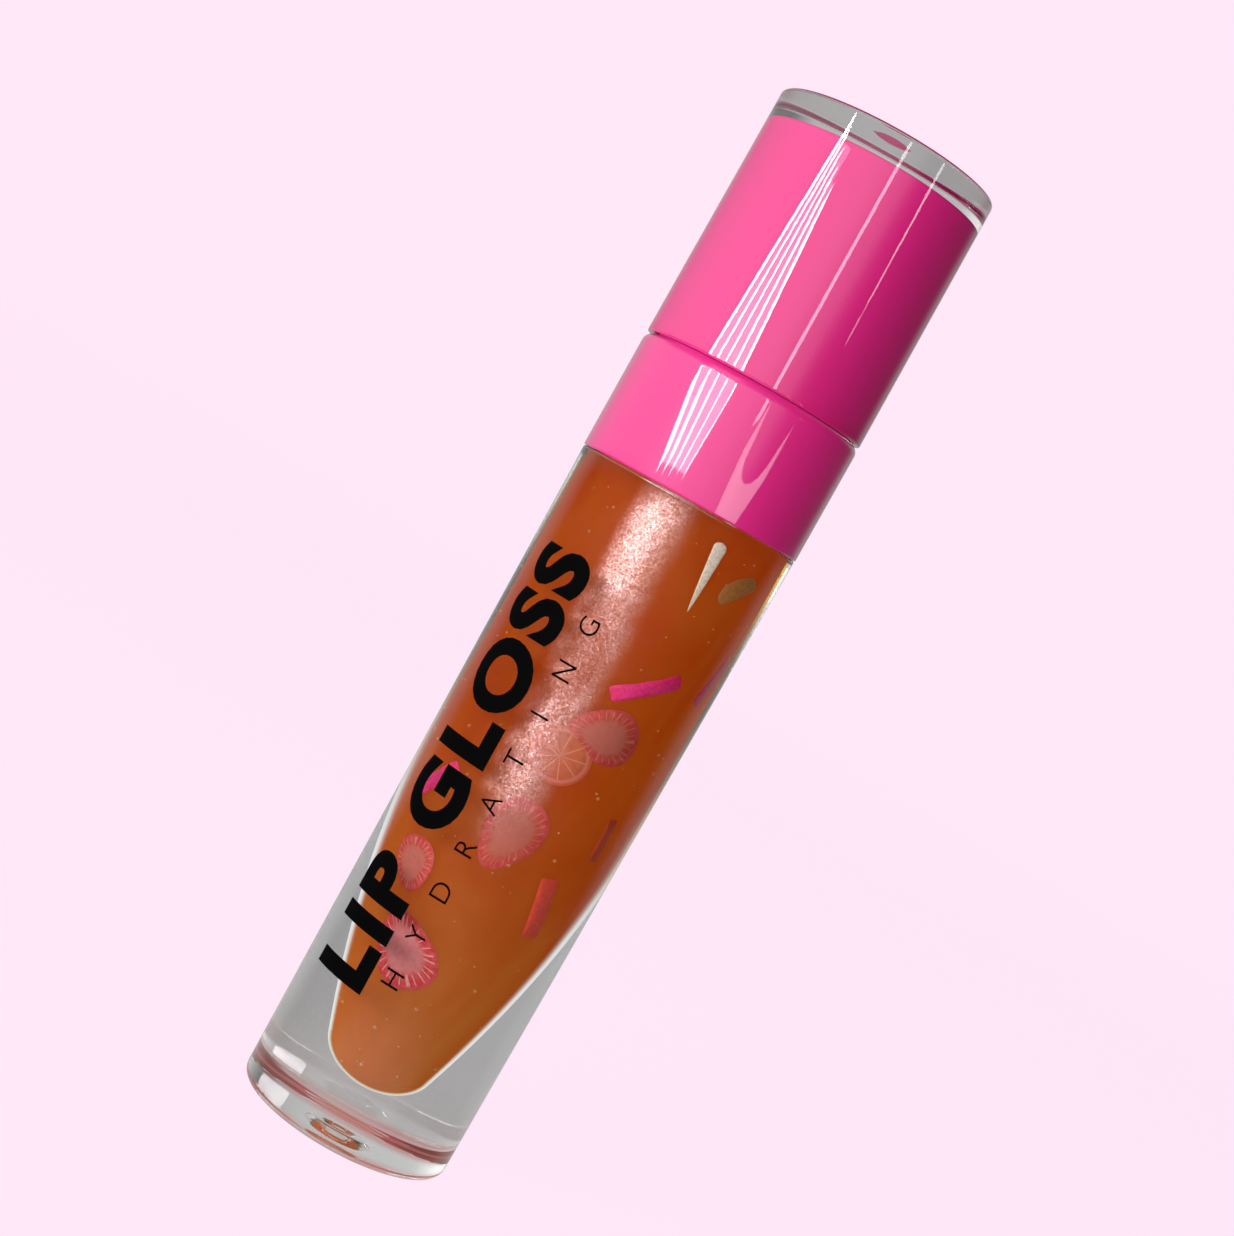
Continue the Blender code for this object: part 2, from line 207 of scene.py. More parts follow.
def new_material(name):
    """A material and its empty node tree."""
    mat = bpy.data.materials.new(name)
    mat.use_nodes = True
    mat.node_tree.nodes.clear()
    return mat, mat.node_tree


def shown(mat, surface, **more):
    """The material with its output: a surface shader, and a volume shader if there is one."""
    node(mat.node_tree, "ShaderNodeOutputMaterial", {"Surface": surface, **more})
    return mat


# ------------------------------------------------------------------- materials


def lamp_share(tree):
    """1 for the rays that carry light to what is behind clear plastic, and 0 for those that look at it."""
    path = node(tree, "ShaderNodeLightPath")
    return maths(tree, "MAXIMUM", path.outputs["Is Shadow Ray"], path.outputs["Is Diffuse Ray"])


def painted_edge_reflection(tree, where):
    """Where, in patches, the base's rounded edge shows a painted reflection of the gloss's colour."""
    x, y, height = xyz(tree, where)
    out = maths(tree, "SQRT", maths(tree, "ADD", times(tree, x, x), times(tree, y, y)))
    patches = ramp(tree, clouds(tree, where, 260.0, 2.0), 0.35, 0.65, 0.25, 0.55)
    return times(tree, ramp(tree, out, 0.0086, 0.0096), ramp(tree, height, 0.0014, 0.0006), patches)


def clear_plastic():
    """Polished copolyester with the faintest moulding ripple and handling marks, and a painted reflection of
    the orange gloss glowing in the base's rounded edge.
    """
    mat, tree = new_material("clear_plastic")
    where = place(tree)
    marks = clouds(tree, stretched(tree, where, (400.0, 400.0, 60.0)), 1.0, 6.0, 0.7)
    roughness = ramp(tree, marks, 0.60, 0.80, 0.0, 0.03)
    ripple = bump(tree, clouds(tree, where, 70.0, 1.0), 0.0001, 0.012)
    clear = {"Transmission_Weight": 1.0, "IOR": PLASTIC_IOR}
    glass = principled(tree, (0.97, 0.97, 0.96), roughness, Normal=ripple, **clear)
    # Painted reflection: an emission in the gloss's colour where the base's rounded edge mirrors the gloss.
    glow = node(tree, "ShaderNodeEmission", {"Color": (0.52, 0.17, 0.15, 1.0), "Strength": 1.0})
    glass_with_painted_reflection = blended(tree, painted_edge_reflection(tree, where), glass.outputs[0], glow.outputs[0])
    through = node(tree, "ShaderNodeBsdfTransparent", {"Color": (0.96, 0.96, 0.95, 1.0)})
    return shown(mat, blended(tree, lamp_share(tree), glass_with_painted_reflection, through.outputs[0]))


def wetted_wall():
    """The cavity's wall where gloss wets it: light hardly bends there, and a painted sheen glows on the
    wall's low edges where they are seen edge-on.
    """
    mat, tree = new_material("wetted_wall")
    bend = node(tree, "ShaderNodeBsdfGlass", {"Roughness": 0.0, "IOR": PLASTIC_IOR / GLOSS_IOR})
    # Painted sheen: a white emission, not a lamp's reflection, on the low wall seen edge-on.
    painted_sheen = node(tree, "ShaderNodeEmission", {"Color": (0.86, 0.87, 0.90, 1.0), "Strength": 0.95})
    facing = node(tree, "ShaderNodeLayerWeight", {"Blend": 0.5}).outputs["Facing"]
    height = xyz(tree, place(tree))[2]
    low = ramp(tree, height, 0.042, 0.024)
    tip = ramp(tree, height, 0.005, 0.009, 0.55, 1.0)
    edge = times(tree, ramp(tree, facing, 0.60, 0.84), low, tip)
    seen = blended(tree, edge, bend.outputs[0], painted_sheen.outputs[0])
    through = node(tree, "ShaderNodeBsdfTransparent")
    return shown(mat, blended(tree, lamp_share(tree), seen, through.outputs[0]))


PINK = (0.78, 0.023, 0.230)
DEEP_PINK = (0.75, 0.020, 0.215)


def pink(tree, where):
    """The pink, with the faint drifts of a moulding's flow."""
    flow = clouds(tree, stretched(tree, where, (60.0, 60.0, 25.0)), 1.0, 2.0)
    return mixed(tree, ramp(tree, flow, 0.35, 0.65), DEEP_PINK, PINK)


def pink_plastic():
    """High-gloss opaque pink moulding, with a deep lacquered look and a few dust specks."""
    mat, tree = new_material("pink_plastic")
    where = place(tree)
    specks = clouds(tree, where, 1500.0, 2.0, 0.6)
    roughness = ramp(tree, specks, 0.66, 0.74, 0.30, 0.5)
    wave = bump(tree, clouds(tree, where, 80.0, 1.0), 0.0001, 0.02)
    coat = {"Coat_Weight": 1.0, "Coat_Roughness": 0.015, "Coat_IOR": 1.5, "Coat_Normal": wave}
    shader = principled(tree, pink(tree, where), roughness, Specular_IOR_Level=0.1, **coat)
    return shown(mat, shader.outputs[0])


def cup_plastic():
    """The cap's pink cup, seen through the shell that it is bonded to, so it has no gloss of its own."""
    mat, tree = new_material("cup_plastic")
    shader = principled(tree, pink(tree, place(tree)), 0.6, Specular_IOR_Level=0.0)
    return shown(mat, shader.outputs[0])


def pearl(tree, where, tilt, roughness):
    """Pink pearl pigment: tiny flakes that each face their own way."""
    flakes = node(tree, "ShaderNodeTexVoronoi", {"Vector": where, "Scale": 7000.0})
    lean = vectors(tree, "SUBTRACT", {0: flakes.outputs["Color"], 1: (0.5, 0.5, 0.5)})
    spread = vectors(tree, "SCALE", {0: lean, 3: tilt})
    facing = node(tree, "ShaderNodeNewGeometry").outputs["Normal"]
    normal = vectors(tree, "NORMALIZE", {0: vectors(tree, "ADD", {0: facing, 1: spread})})
    flake = principled(tree, (0.95, 0.62, 0.61), roughness, Metallic=1.0, Normal=normal)
    return flake.outputs[0]


def highlight_streak(tree, where):
    """A broad upright streak on the front where the lamps' highlight falls in the camera's view: a painted
    highlight, made of more pearl, that the lamps still light. 1 in its middle and 0 outside.
    """
    x, y, height = xyz(tree, where)
    azimuth = maths(tree, "ARCTAN2", x, times(tree, y, -1.0))
    wander = clouds(tree, stretched(tree, where, (90.0, 90.0, 110.0)), 1.0, 2.0)
    shift = times(tree, maths(tree, "SUBTRACT", wander, 0.5), radians(12))
    lean = ramp(tree, height, 0.034, 0.064, radians(-8), radians(-11))
    across = maths(tree, "ABSOLUTE", maths(tree, "SUBTRACT", maths(tree, "ADD", azimuth, shift), lean))
    column = ramp(tree, across, radians(2), radians(26), 1.0, 0.0)
    return times(tree, column, ramp(tree, height, 0.029, 0.040), ramp(tree, height, 0.075, 0.066))


def pearl_cover(tree, where, thin, thick):
    """How much pearl shows: a little everywhere, much in the painted highlight streak, in soft drifts and
    fine grain.
    """
    swirl = clouds(tree, stretched(tree, where, (170.0, 170.0, 100.0)), 1.0, 3.0, 0.5, 0.6)
    grain = clouds(tree, where, 5200.0, 2.0, 0.6)
    streak = times(tree, highlight_streak(tree, where), ramp(tree, swirl, 0.30, 0.55, 0.9, 1.0))
    amount = maths(tree, "ADD", times(tree, streak, thick), thin)
    drifts = ramp(tree, swirl, 0.40, 0.70, 0.3, 1.6)
    return times(tree, amount, drifts, ramp(tree, grain, 0.38, 0.62, 0.35, 1.0))


def gloss_surface():
    """The gloss where it meets the clear wall: its first pearl, over the tinted depth behind it."""
    mat, tree = new_material("amber_gloss")
    where = place(tree)
    clear = node(tree, "ShaderNodeBsdfTransparent")
    cover = pearl_cover(tree, where, 0.004, 0.35)
    tint = node(tree, "ShaderNodeVolumeAbsorption", {"Color": (0.93, 0.70, 0.0, 1.0), "Density": 1000.0})
    surface = blended(tree, cover, clear.outputs[0], pearl(tree, where, 0.25, 0.35))
    return shown(mat, surface, Volume=tint.outputs[0])


def gloss_core():
    """The depth of the gloss: orange amber, milkier and redder in drifts, with pearl.

    The thick clear wall pipes light round to it from all sides, which the body's even glow stands for.
    """
    mat, tree = new_material("gloss_core")
    where = place(tree)
    height = xyz(tree, where)[2]
    drift = clouds(tree, stretched(tree, where, (150.0, 150.0, 60.0)), 1.0, 3.0, 0.5, 0.6)
    upper = mixed(tree, ramp(tree, drift, 0.35, 0.65), (0.37, 0.043, 0.001), (0.41, 0.068, 0.005))
    lower = mixed(tree, ramp(tree, drift, 0.35, 0.65), (0.43, 0.112, 0.017), (0.45, 0.142, 0.029))
    colour = mixed(tree, ramp(tree, height, 0.040, 0.006), upper, lower)
    redder = clouds(tree, stretched(tree, where, (120.0, 120.0, 90.0)), 1.0, 2.0)
    colour = mixed(tree, ramp(tree, redder, 0.56, 0.72, 0.0, 0.35), colour, (0.42, 0.045, 0.012))
    deep = {"Subsurface_Weight": 0.9, "Subsurface_Radius": (1.0, 0.6, 0.4), "Subsurface_Scale": 0.006}
    # Painted light: the even emission glow stands for the light that the clear wall pipes round to the core.
    glow = {"Emission_Color": colour, "Emission_Strength": 0.58}
    halved = mixed(tree, 0.5, colour, (0.0, 0.0, 0.0))
    body = principled(tree, halved, 0.6, Specular_IOR_Level=0.0, **deep, **glow)
    cover = pearl_cover(tree, where, 0.012, 0.40)
    return shown(mat, blended(tree, cover, body.outputs[0], pearl(tree, where, 0.34, 0.38)))


def print_ink():
    """Screen-printed black ink, with a slight orange-peel surface."""
    mat, tree = new_material("print_ink")
    peel = bump(tree, clouds(tree, place(tree), 3000.0, 2.0), 0.00002, 0.4)
    shader = principled(tree, (0.001, 0.001, 0.001), 0.6, Normal=peel, Specular_IOR_Level=0.02)
    return shown(mat, shader.outputs[0])


def uv_parts(tree):
    """The slice's own polar coordinates: share of a turn, and 0 at its middle to 1 at its rim."""
    turn, across, _ = xyz(tree, node(tree, "ShaderNodeUVMap").outputs[0])
    return turn, across


def spokes(tree, turn, across, count, wander):
    """Streaks that run out from the middle: they change fast round the slice and slowly across it."""
    angle = times(tree, turn, 2 * pi)
    x = times(tree, maths(tree, "COSINE", angle), count)
    y = times(tree, maths(tree, "SINE", angle), count)
    z = times(tree, across, wander)
    vector = node(tree, "ShaderNodeCombineXYZ", {0: x, 1: y, 2: z}).outputs[0]
    return clouds(tree, vector, 1.0, 1.0)


GLOSS_VEIL = (0.42, 0.070, 0.010)


def sunk(tree, colour, haze):
    """A colour as seen through a share of gloss."""
    return mixed(tree, haze, colour, GLOSS_VEIL)


def strawberry_clay(name, haze):
    """Strawberry slice: a red rim crossed by fine pale fibres, round a large pale pink heart."""
    mat, tree = new_material(name)
    turn, across = uv_parts(tree)
    grain = clouds(tree, place(tree), 2500.0, 3.0)
    uneven = spokes(tree, turn, across, 4.0, 1.0)
    comb = maths(tree, "FRACT", maths(tree, "ADD", times(tree, turn, 26.0), uneven))
    line = ramp(tree, maths(tree, "ABSOLUTE", maths(tree, "SUBTRACT", comb, 0.5)), 0.13, 0.05)
    band = times(tree, ramp(tree, across, 0.56, 0.66), ramp(tree, across, 0.95, 0.85))
    fibres = times(tree, line, band)
    wavy = maths(tree, "ADD", across, times(tree, uneven, 0.22))
    flesh = mixed(tree, ramp(tree, wavy, 0.64, 0.80), (0.62, 0.16, 0.19), (0.60, 0.010, 0.035))
    veined = mixed(tree, times(tree, fibres, 0.85 - haze), flesh, (0.86, 0.42, 0.42))
    rim = mixed(tree, ramp(tree, across, 0.90, 0.98), veined, (0.60, 0.008, 0.06))
    colour = mixed(tree, ramp(tree, grain, 0.35, 0.65, 0.0, 0.10), rim, (0.95, 0.60, 0.58))
    veil = ramp(tree, across, 0.55, 0.90, min(1.6 * haze, 0.9), 0.7 * haze)
    shader = principled(tree, sunk(tree, colour, veil), 0.45, Normal=bump(tree, fibres, 0.00004, 0.5))
    return shown(mat, shader.outputs[0])


def orange_clay(name, haze):
    """Orange slice: segments between pale spokes, pith, and a pink rind with a thin outer skin."""
    mat, tree = new_material(name)
    turn, across = uv_parts(tree)
    grain = clouds(tree, place(tree), 2500.0, 3.0)
    segment = maths(tree, "FRACT", times(tree, turn, 9.0))
    near = maths(tree, "ABSOLUTE", maths(tree, "SUBTRACT", segment, 0.5))
    width = maths(tree, "ADD", across, 0.15)
    spoke = ramp(tree, times(tree, maths(tree, "SUBTRACT", 0.5, near), width), 0.045, 0.015)
    pulp = mixed(tree, ramp(tree, grain, 0.35, 0.65), (0.62, 0.10, 0.035), (0.70, 0.15, 0.06))
    segments = mixed(tree, spoke, pulp, (0.86, 0.36, 0.25))
    pith = mixed(tree, ramp(tree, across, 0.78, 0.82), segments, (0.86, 0.24, 0.23))
    skin = mixed(tree, ramp(tree, across, 0.89, 0.93), pith, (0.74, 0.13, 0.06))
    shader = principled(tree, sunk(tree, skin, haze), 0.45)
    return shown(mat, shader.outputs[0])


def lemon_clay(name, haze):
    """Lemon wedge: pale pulp in a duller rind."""
    mat, tree = new_material(name)
    _, across = uv_parts(tree)
    grain = clouds(tree, place(tree), 2500.0, 3.0)
    pulp = mixed(tree, ramp(tree, grain, 0.35, 0.65), (0.60, 0.30, 0.06), (0.70, 0.42, 0.12))
    rind = mixed(tree, ramp(tree, across, 0.80, 0.88), pulp, (0.62, 0.40, 0.16))
    shader = principled(tree, sunk(tree, rind, haze), 0.5)
    return shown(mat, shader.outputs[0])


def stick_clay(name, haze, colour):
    """A cut stick of coloured clay with a fine grain."""
    mat, tree = new_material(name)
    grain = clouds(tree, place(tree), 3500.0, 3.0)
    shade = mixed(tree, ramp(tree, grain, 0.3, 0.7), colour, tuple(min(1.0, c * 1.35) for c in colour))
    shader = principled(tree, sunk(tree, shade, haze), 0.42)
    return shown(mat, shader.outputs[0])


def white_plastic(name, colour, coated_below=None):
    """Natural moulded plastic; below a height it is coated with gloss, as a used wand is."""
    mat, tree = new_material(name)
    where = place(tree)
    ripple = bump(tree, clouds(tree, where, 900.0, 3.0), 0.00003, 0.3)
    if coated_below is not None:
        height = xyz(tree, where)[2]
        edge, wander = coated_below * MM, 0.004
        uneven = times(tree, clouds(tree, where, 500.0, 2.0), wander)
        film = ramp(tree, maths(tree, "ADD", height, uneven), edge, edge - wander)
        colour = mixed(tree, film, colour, (0.62, 0.14, 0.02))
    shader = principled(tree, colour, 0.35, Normal=ripple)
    return shown(mat, shader.outputs[0])


def foam():
    """Foamed liner with fine cells."""
    mat, tree = new_material("liner_foam")
    cells = node(tree, "ShaderNodeTexVoronoi", {"Vector": place(tree), "Scale": 6000.0})
    pits = bump(tree, cells.outputs["Distance"], 0.00005, 0.6)
    shader = principled(tree, (0.82, 0.82, 0.80), 0.75, Normal=pits)
    return shown(mat, shader.outputs[0])


def flock():
    """Short wet flock: nylon fuzz soaked in gloss."""
    mat, tree = new_material("applicator_flock")
    where = place(tree)
    fuzz = clouds(tree, where, 9000.0, 3.0, 0.7)
    soaked = clouds(tree, where, 400.0, 2.0)
    colour = mixed(tree, ramp(tree, soaked, 0.35, 0.6), (0.80, 0.34, 0.14), (0.66, 0.17, 0.03))
    shader = principled(tree, colour, 0.5, Normal=bump(tree, fuzz, 0.00008, 0.8), Sheen_Weight=0.4)
    return shown(mat, shader.outputs[0])


def bubble_film():
    """A tiny bubble of air: a bright glassy bead over the gloss, its pale rim a painted reflection."""
    mat, tree = new_material("bubble_film")
    rim = node(tree, "ShaderNodeLayerWeight", {"Blend": 0.35}).outputs["Facing"]
    # The bead's pale colour, shown at its rim, is a painted reflection of the bubble's bright edge.
    bead = principled(tree, (0.95, 0.72, 0.50), 0.05, IOR=1.6)
    clear = node(tree, "ShaderNodeBsdfTransparent", {"Color": (0.95, 0.75, 0.55, 1.0)})
    cover = ramp(tree, rim, 0.1, 0.8, 0.25, 0.9)
    return shown(mat, blended(tree, cover, clear.outputs[0], bead.outputs[0]))


def painted_air_sheen():
    """A smear of air against the wall: a finely mottled painted reflection, pale and silvery."""
    mat, tree = new_material("painted_air_sheen")
    grain = clouds(tree, place(tree), 5000.0, 2.0)
    # Pale silvery colour: a painted reflection, since air has no colour of its own.
    colour = mixed(tree, ramp(tree, grain, 0.35, 0.6), (0.82, 0.72, 0.74), (0.98, 0.95, 0.98))
    return shown(mat, principled(tree, colour, 0.25).outputs[0])


# ---------------------------------------------------------------------- meshes


def between(a, b, share):
    return a + (b - a) * share


def arc(centre_r, centre_z, radius, start, end, pieces=10):
    """Points (r, z) along an arc, from one angle in degrees to another."""
    angles = [radians(start + (end - start) * i / pieces) for i in range(pieces + 1)]
    return [(centre_r + radius * cos(a), centre_z + radius * sin(a)) for a in angles]


def add_object(name, mesh, *materials):
    obj = bpy.data.objects.new(name, mesh)
    bpy.context.scene.collection.objects.link(obj)
    for mat in materials:
        mesh.materials.append(mat)
    return obj


def smooth(mesh, angle=30):
    """Smooth shading, but for edges sharper than the angle."""
    mesh.shade_smooth()
    mesh.set_sharp_from_angle(angle=radians(angle))


def finished(name, work, angle=30):
    """The smooth mesh of a closed shape, with its faces turned outwards."""
    bmesh.ops.recalc_face_normals(work, faces=work.faces)
    mesh = bpy.data.meshes.new(name)
    work.to_mesh(mesh)
    work.free()
    smooth(mesh, angle)
    return mesh


def skin_loops(work, loops):
    """Faces from each loop of vertices to the next, and over both ends."""
    for a, b in zip(loops, loops[1:]):
        for k in range(len(a)):
            n = (k + 1) % len(a)
            work.faces.new([a[k], a[n], b[n], b[k]])
    work.faces.new(loops[0])
    work.faces.new(loops[-1])


def braced(profile, ring):
    """The profile with points near the ends of its long runs, so that smooth shading keeps them flat."""
    long_run, brace, near_axis = 0.6, 0.06, 0.2
    points = []
    pairs = list(zip(profile, profile[1:])) + ([(profile[-1], profile[0])] if ring else [])
    for (r1, z1), (r2, z2) in pairs:
        points.append((r1, z1))
        length = hypot(r2 - r1, z2 - z1)
        if length > long_run:
            share = brace / length
            if r1 > near_axis:
                points.append((between(r1, r2, share), between(z1, z2, share)))
            if r2 > near_axis:
                points.append((between(r1, r2, 1 - share), between(z1, z2, 1 - share)))
    if not ring:
        points.append(profile[-1])
    return points


def turned(name, profile, materials, steps=FINE_STEPS, ring=False, second=None):
    """A solid of revolution; a ring's profile closes on itself. second(r, z) picks the second material."""
    work = bmesh.new()
    rings = []
    for r, z in braced(profile, ring):
        if r < 1e-9:
            rings.append([work.verts.new((0, 0, z * MM))])
            continue
        turn = [2 * pi * i / steps for i in range(steps)]
        rings.append([work.verts.new((r * sin(a) * MM, -r * cos(a) * MM, z * MM)) for a in turn])
    pairs = list(zip(rings, rings[1:]))
    if ring:
        pairs.append((rings[-1], rings[0]))
    for low, high in pairs:
        for i in range(steps):
            j = (i + 1) % steps
            corners = [low[i % len(low)], low[j % len(low)], high[j % len(high)], high[i % len(high)]]
            corners = list(dict.fromkeys(corners))
            if len(corners) > 2:
                work.faces.new(corners)
    if second:
        for face in work.faces:
            middle = face.calc_center_median() / MM
            face.material_index = int(second(hypot(middle.x, middle.y), middle.z))
    return add_object(name, finished(name, work), *materials)


def cavity_radius(z):
    """Radius of the bottle's cavity at height z: a ball end, then a taper eased into a straight wall."""
    if z < TAPER_START:
        return max(BALL_RADIUS**2 - (BALL_CENTRE - z) ** 2, 0.0) ** 0.5
    share = min((z - TAPER_START) / CAVITY_TAPER, 1.0)
    return CAVITY_FOOT + (CAVITY_RADIUS - CAVITY_FOOT) * (1 - (1 - share) ** TAPER_POWER)


def bottle_radius(z):
    """Radius of the bottle's outer wall at height z, with its draft."""
    share = (z - BASE_EDGE) / (SHOULDER - BASE_EDGE)
    return between(BASE_RADIUS, SHOULDER_RADIUS, min(max(share, 0.0), 1.0))


def cavity_profile(inset, pieces=32):
    """The cavity's outline, inset, from its tip on the axis up to where the wall runs straight."""
    ball = BALL_RADIUS - inset
    join = degrees(atan2(TAPER_SLOPE, 1.0))
    off_axis = 3
    outline = [(0, BALL_CENTRE - ball)] + arc(0, BALL_CENTRE, ball, -90 + off_axis, -join, 24)
    heights = [TAPER_START + CAVITY_TAPER * i / pieces for i in range(1, pieces + 1)]
    return outline + [(cavity_radius(z) - inset, z) for z in heights]


def on_wall(azimuth, z, radius):
    """The point in metres at an azimuth, height and radius."""
    a = radians(azimuth)
    return Vector((sin(a) * radius, -cos(a) * radius, z)) * MM


# ---------------------------------------------------------------------- pieces


def thread_bead(name, radius, start_z, depth, mat, turns=1.5, pitch=3.0):
    """A screw thread's ridge that sinks into the neck at both of its ends."""
    per_turn, sides = 64, 10
    count = int(turns * per_turn)
    work = bmesh.new()
    loops = []
    for i in range(count + 1):
        share = i / count
        fade = min(1.0, 10 * share, 10 * (1 - share))
        angle = 360 * turns * share
        z = start_z + pitch * turns * share
        loop = []
        for k in range(sides):
            side = 2 * pi * k / sides
            out = radius - depth * 0.6 + depth * 1.4 * fade * cos(side)
            loop.append(work.verts.new(on_wall(angle, z + depth * 1.2 * sin(side), out)))
        loops.append(loop)
    skin_loops(work, loops)
    return add_object(name, finished(name, work, 50), mat)


def make_bottle(clear, wetted):
    """The clear bottle: its profile runs from the cavity's tip over the neck to the base."""
    profile = cavity_profile(0)
    profile += [(CAVITY_RADIUS, GLOSS_TOP), (CAVITY_RADIUS, CAVITY_SHOULDER)]
    profile += [(NECK_BORE, NECK_BOTTOM), (NECK_BORE, NECK_TOP)]
    profile += arc(NECK_RADIUS - 0.3, NECK_TOP - 0.3, 0.3, 90, 0, 4)
    profile += [(NECK_RADIUS, SEAT_TOP), (SEAT_RADIUS, SEAT_TOP), (SEAT_RADIUS, SHOULDER)]
    profile += arc(SHOULDER_RADIUS - 0.2, SHOULDER - 0.2, 0.2, 90, 0, 4)
    profile += arc(BASE_RADIUS - BASE_EDGE, BASE_EDGE, BASE_EDGE, 0, -90, 12)
    gate_groove = [(2.3, 0.0), (2.05, 0.05), (1.9, 0.2), (1.8, 0.4), (1.6, 0.5), (1.2, 0.5), (1.05, 0.4)]
    gate_middle = [(0.95, 0.22), (0.8, 0.14), (0.4, 0.12), (0, 0.12)]
    profile += gate_groove + gate_middle

    def filled(r, z):
        """Whether a face is on the wall that gloss wets: near the tip, any face within the ball."""
        wide_height, margin = 5.5, 0.2
        return BASE_EDGE < z < GLOSS_TOP and r < cavity_radius(max(z, wide_height)) + margin

    bottle = turned("bottle_body", profile, [clear, wetted], second=filled)
    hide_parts("bottle")
    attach(bottle, TUBE)
    thread_start, thread_depth = 79.8, 0.32
    ridge = thread_bead("neck_thread", NECK_RADIUS, thread_start, thread_depth, clear)
    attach(ridge, TUBE)


def make_collar(glossy):
    """The pink sleeve, its top edge well rounded and its bottom edge crisp against the bottle's shoulder."""
    inner = NECK_RADIUS + 0.65
    bottom = SHOULDER + 0.02
    soft, crisp = 0.9, 0.12
    profile = [(inner, COLLAR_TOP)]
    profile += arc(TUBE_RADIUS - soft, COLLAR_TOP - soft, soft, 90, 0, 12)
    profile += arc(TUBE_RADIUS - crisp, bottom + crisp, crisp, 0, -90, 4)
    profile += [(SEAT_RADIUS + GAP, bottom), (SEAT_RADIUS + GAP, SEAT_TOP + GAP), (inner, SEAT_TOP + GAP)]
    collar = turned("collar_sleeve", profile, [glossy], ring=True)
    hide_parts("collar_ring")
    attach(collar, TUBE)


def make_cap(clear, cup_pink):
    """The clear shell with its gate dimple, and the pink cup inside it.

    The cup is bonded to the shell: it overlaps the shell's bore by a hair, so no air shows between them.
    """
    overlap = 0.02
    roof = INNER_CAP_TOP - overlap
    bottom = COLLAR_TOP + 0.04
    top_edge, bottom_edge, corner = 0.45, 0.15, 0.35
    dimple = [(0, -0.32), (0.45, -0.30), (0.9, -0.2), (1.15, -0.07), (1.4, 0)]
    profile = [(r, TOTAL_HEIGHT + depth) for r, depth in dimple]
    profile += arc(CAP_TOP_RADIUS - top_edge, TOTAL_HEIGHT - top_edge, top_edge, 90, 0, 12)
    profile += arc(CAP_BOTTOM_RADIUS - bottom_edge, bottom + bottom_edge, bottom_edge, 0, -90, 4)
    profile += [(CAP_BORE, bottom), (CAP_BORE, roof - corner), (CAP_BORE - corner, roof), (0, roof)]
    shell = turned("cap_shell", profile, [clear])
    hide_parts("outer_cap")
    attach(shell, CAP)
    outside, inside = CAP_BORE + overlap, INNER_CAP_RADIUS - 0.8
    top, ceiling, mouth = INNER_CAP_TOP, INNER_CAP_TOP - 1.2, bottom + 0.03
    profile = [(0, top)]
    profile += arc(outside - corner, top - corner, corner, 90, 0, 8)
    profile += [(outside, mouth), (inside, mouth), (inside, ceiling), (0, ceiling)]
    cup = turned("cap_cup", profile, [cup_pink])
    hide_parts("inner_cap")
    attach(cup, CAP)


def gloss_profile(inset, margin):
    """The gloss round the wand's way: inset from the cavity's wall, with a margin at the way and the top."""
    floor, bore, top = BORE_BOTTOM - margin, WAND_BORE + margin, GLOSS_TOP - margin
    profile = [(0, floor), (bore, floor), (bore, top), (CAVITY_RADIUS - inset, top)]
    profile += reversed(cavity_profile(inset))
    return profile


def make_gloss():
    """The gloss fills the cavity to its wall; a core deeper in it stops the view, as its pearl does."""
    body = turned("gloss_body", gloss_profile(0.02, 0.0), [gloss_surface()], GLOSS_STEPS)
    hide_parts("gloss_fill")
    core = turned("gloss_core", gloss_profile(0.2, 0.15), [gloss_core()], GLOSS_STEPS)
    for piece in (body, core):
        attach(piece, TUBE)


# Each outline gives a point (x, y) for an angle round the slice, about 1 across and 1 long.
def strawberry(angle):
    return 0.5 * sin(angle) * (0.86 - 0.26 * cos(angle)), -0.5 * cos(angle)


def disc(angle):
    return 0.5 * sin(angle), -0.5 * cos(angle)


def wedge(angle):
    x, y = disc(angle)
    return x, max(y, -0.22)


def stick(angle):
    """Nearly a rectangle: a superellipse."""
    return tuple(0.5 * copysign(abs(value) ** 0.22, value) for value in (sin(angle), -cos(angle)))


def fruit_piece(name, outline, z, azimuth, roll, length, width, thickness, mat):
    """A thin slice, domed a little, along the cavity's wall. Its UV map is polar."""
    segments, rings = 64, 10
    turn = radians(roll)
    base = cavity_radius(z)
    # The wall is so steep that its slope serves as its lean in radians.
    lean = (cavity_radius(z + 1) - cavity_radius(z - 1)) / 2
    sink = thickness / 2 + 0.07

    def at(angle, share, height):
        x, y = outline(angle)
        x, y = x * width * share, y * length * share
        across = x * cos(turn) - y * sin(turn)
        up = x * sin(turn) + y * cos(turn)
        level = z + up * cos(lean)
        return on_wall(azimuth + degrees(across / base), level, cavity_radius(level) - sink + height)

    work = bmesh.new()
    layer = work.loops.layers.uv.new("UVMap")
    top = [(i / rings, thickness * (0.5 - 0.22 * (i / rings) ** 4)) for i in range(1, rings + 1)]
    bottom = [(share, -height) for share, height in reversed(top)]
    loops = []
    for share, height in top + bottom:
        points = [at(2 * pi * k / segments, share, height) for k in range(segments)]
        loops.append(([work.verts.new(p) for p in points], share))
    first = work.verts.new(at(0, 0, thickness * 0.5))
    last = work.verts.new(at(0, 0, -thickness * 0.5))

    def face(corners, values):
        made = work.faces.new(corners)
        for loop, value in zip(made.loops, values):
            loop[layer].uv = value

    for k in range(segments):
        n = (k + 1) % segments
        u, v = k / segments, (k + 1) / segments
        for (a, sa), (b, sb) in zip(loops, loops[1:]):
            face([a[k], a[n], b[n], b[k]], [(u, sa), (v, sa), (v, sb), (u, sb)])
        a, sa = loops[0]
        face([first, a[n], a[k]], [((u + v) / 2, 0), (v, sa), (u, sa)])
        a, sa = loops[-1]
        face([last, a[k], a[n]], [((u + v) / 2, 0), (u, sa), (v, sa)])
    return add_object(name, finished(name, work, 60), mat)


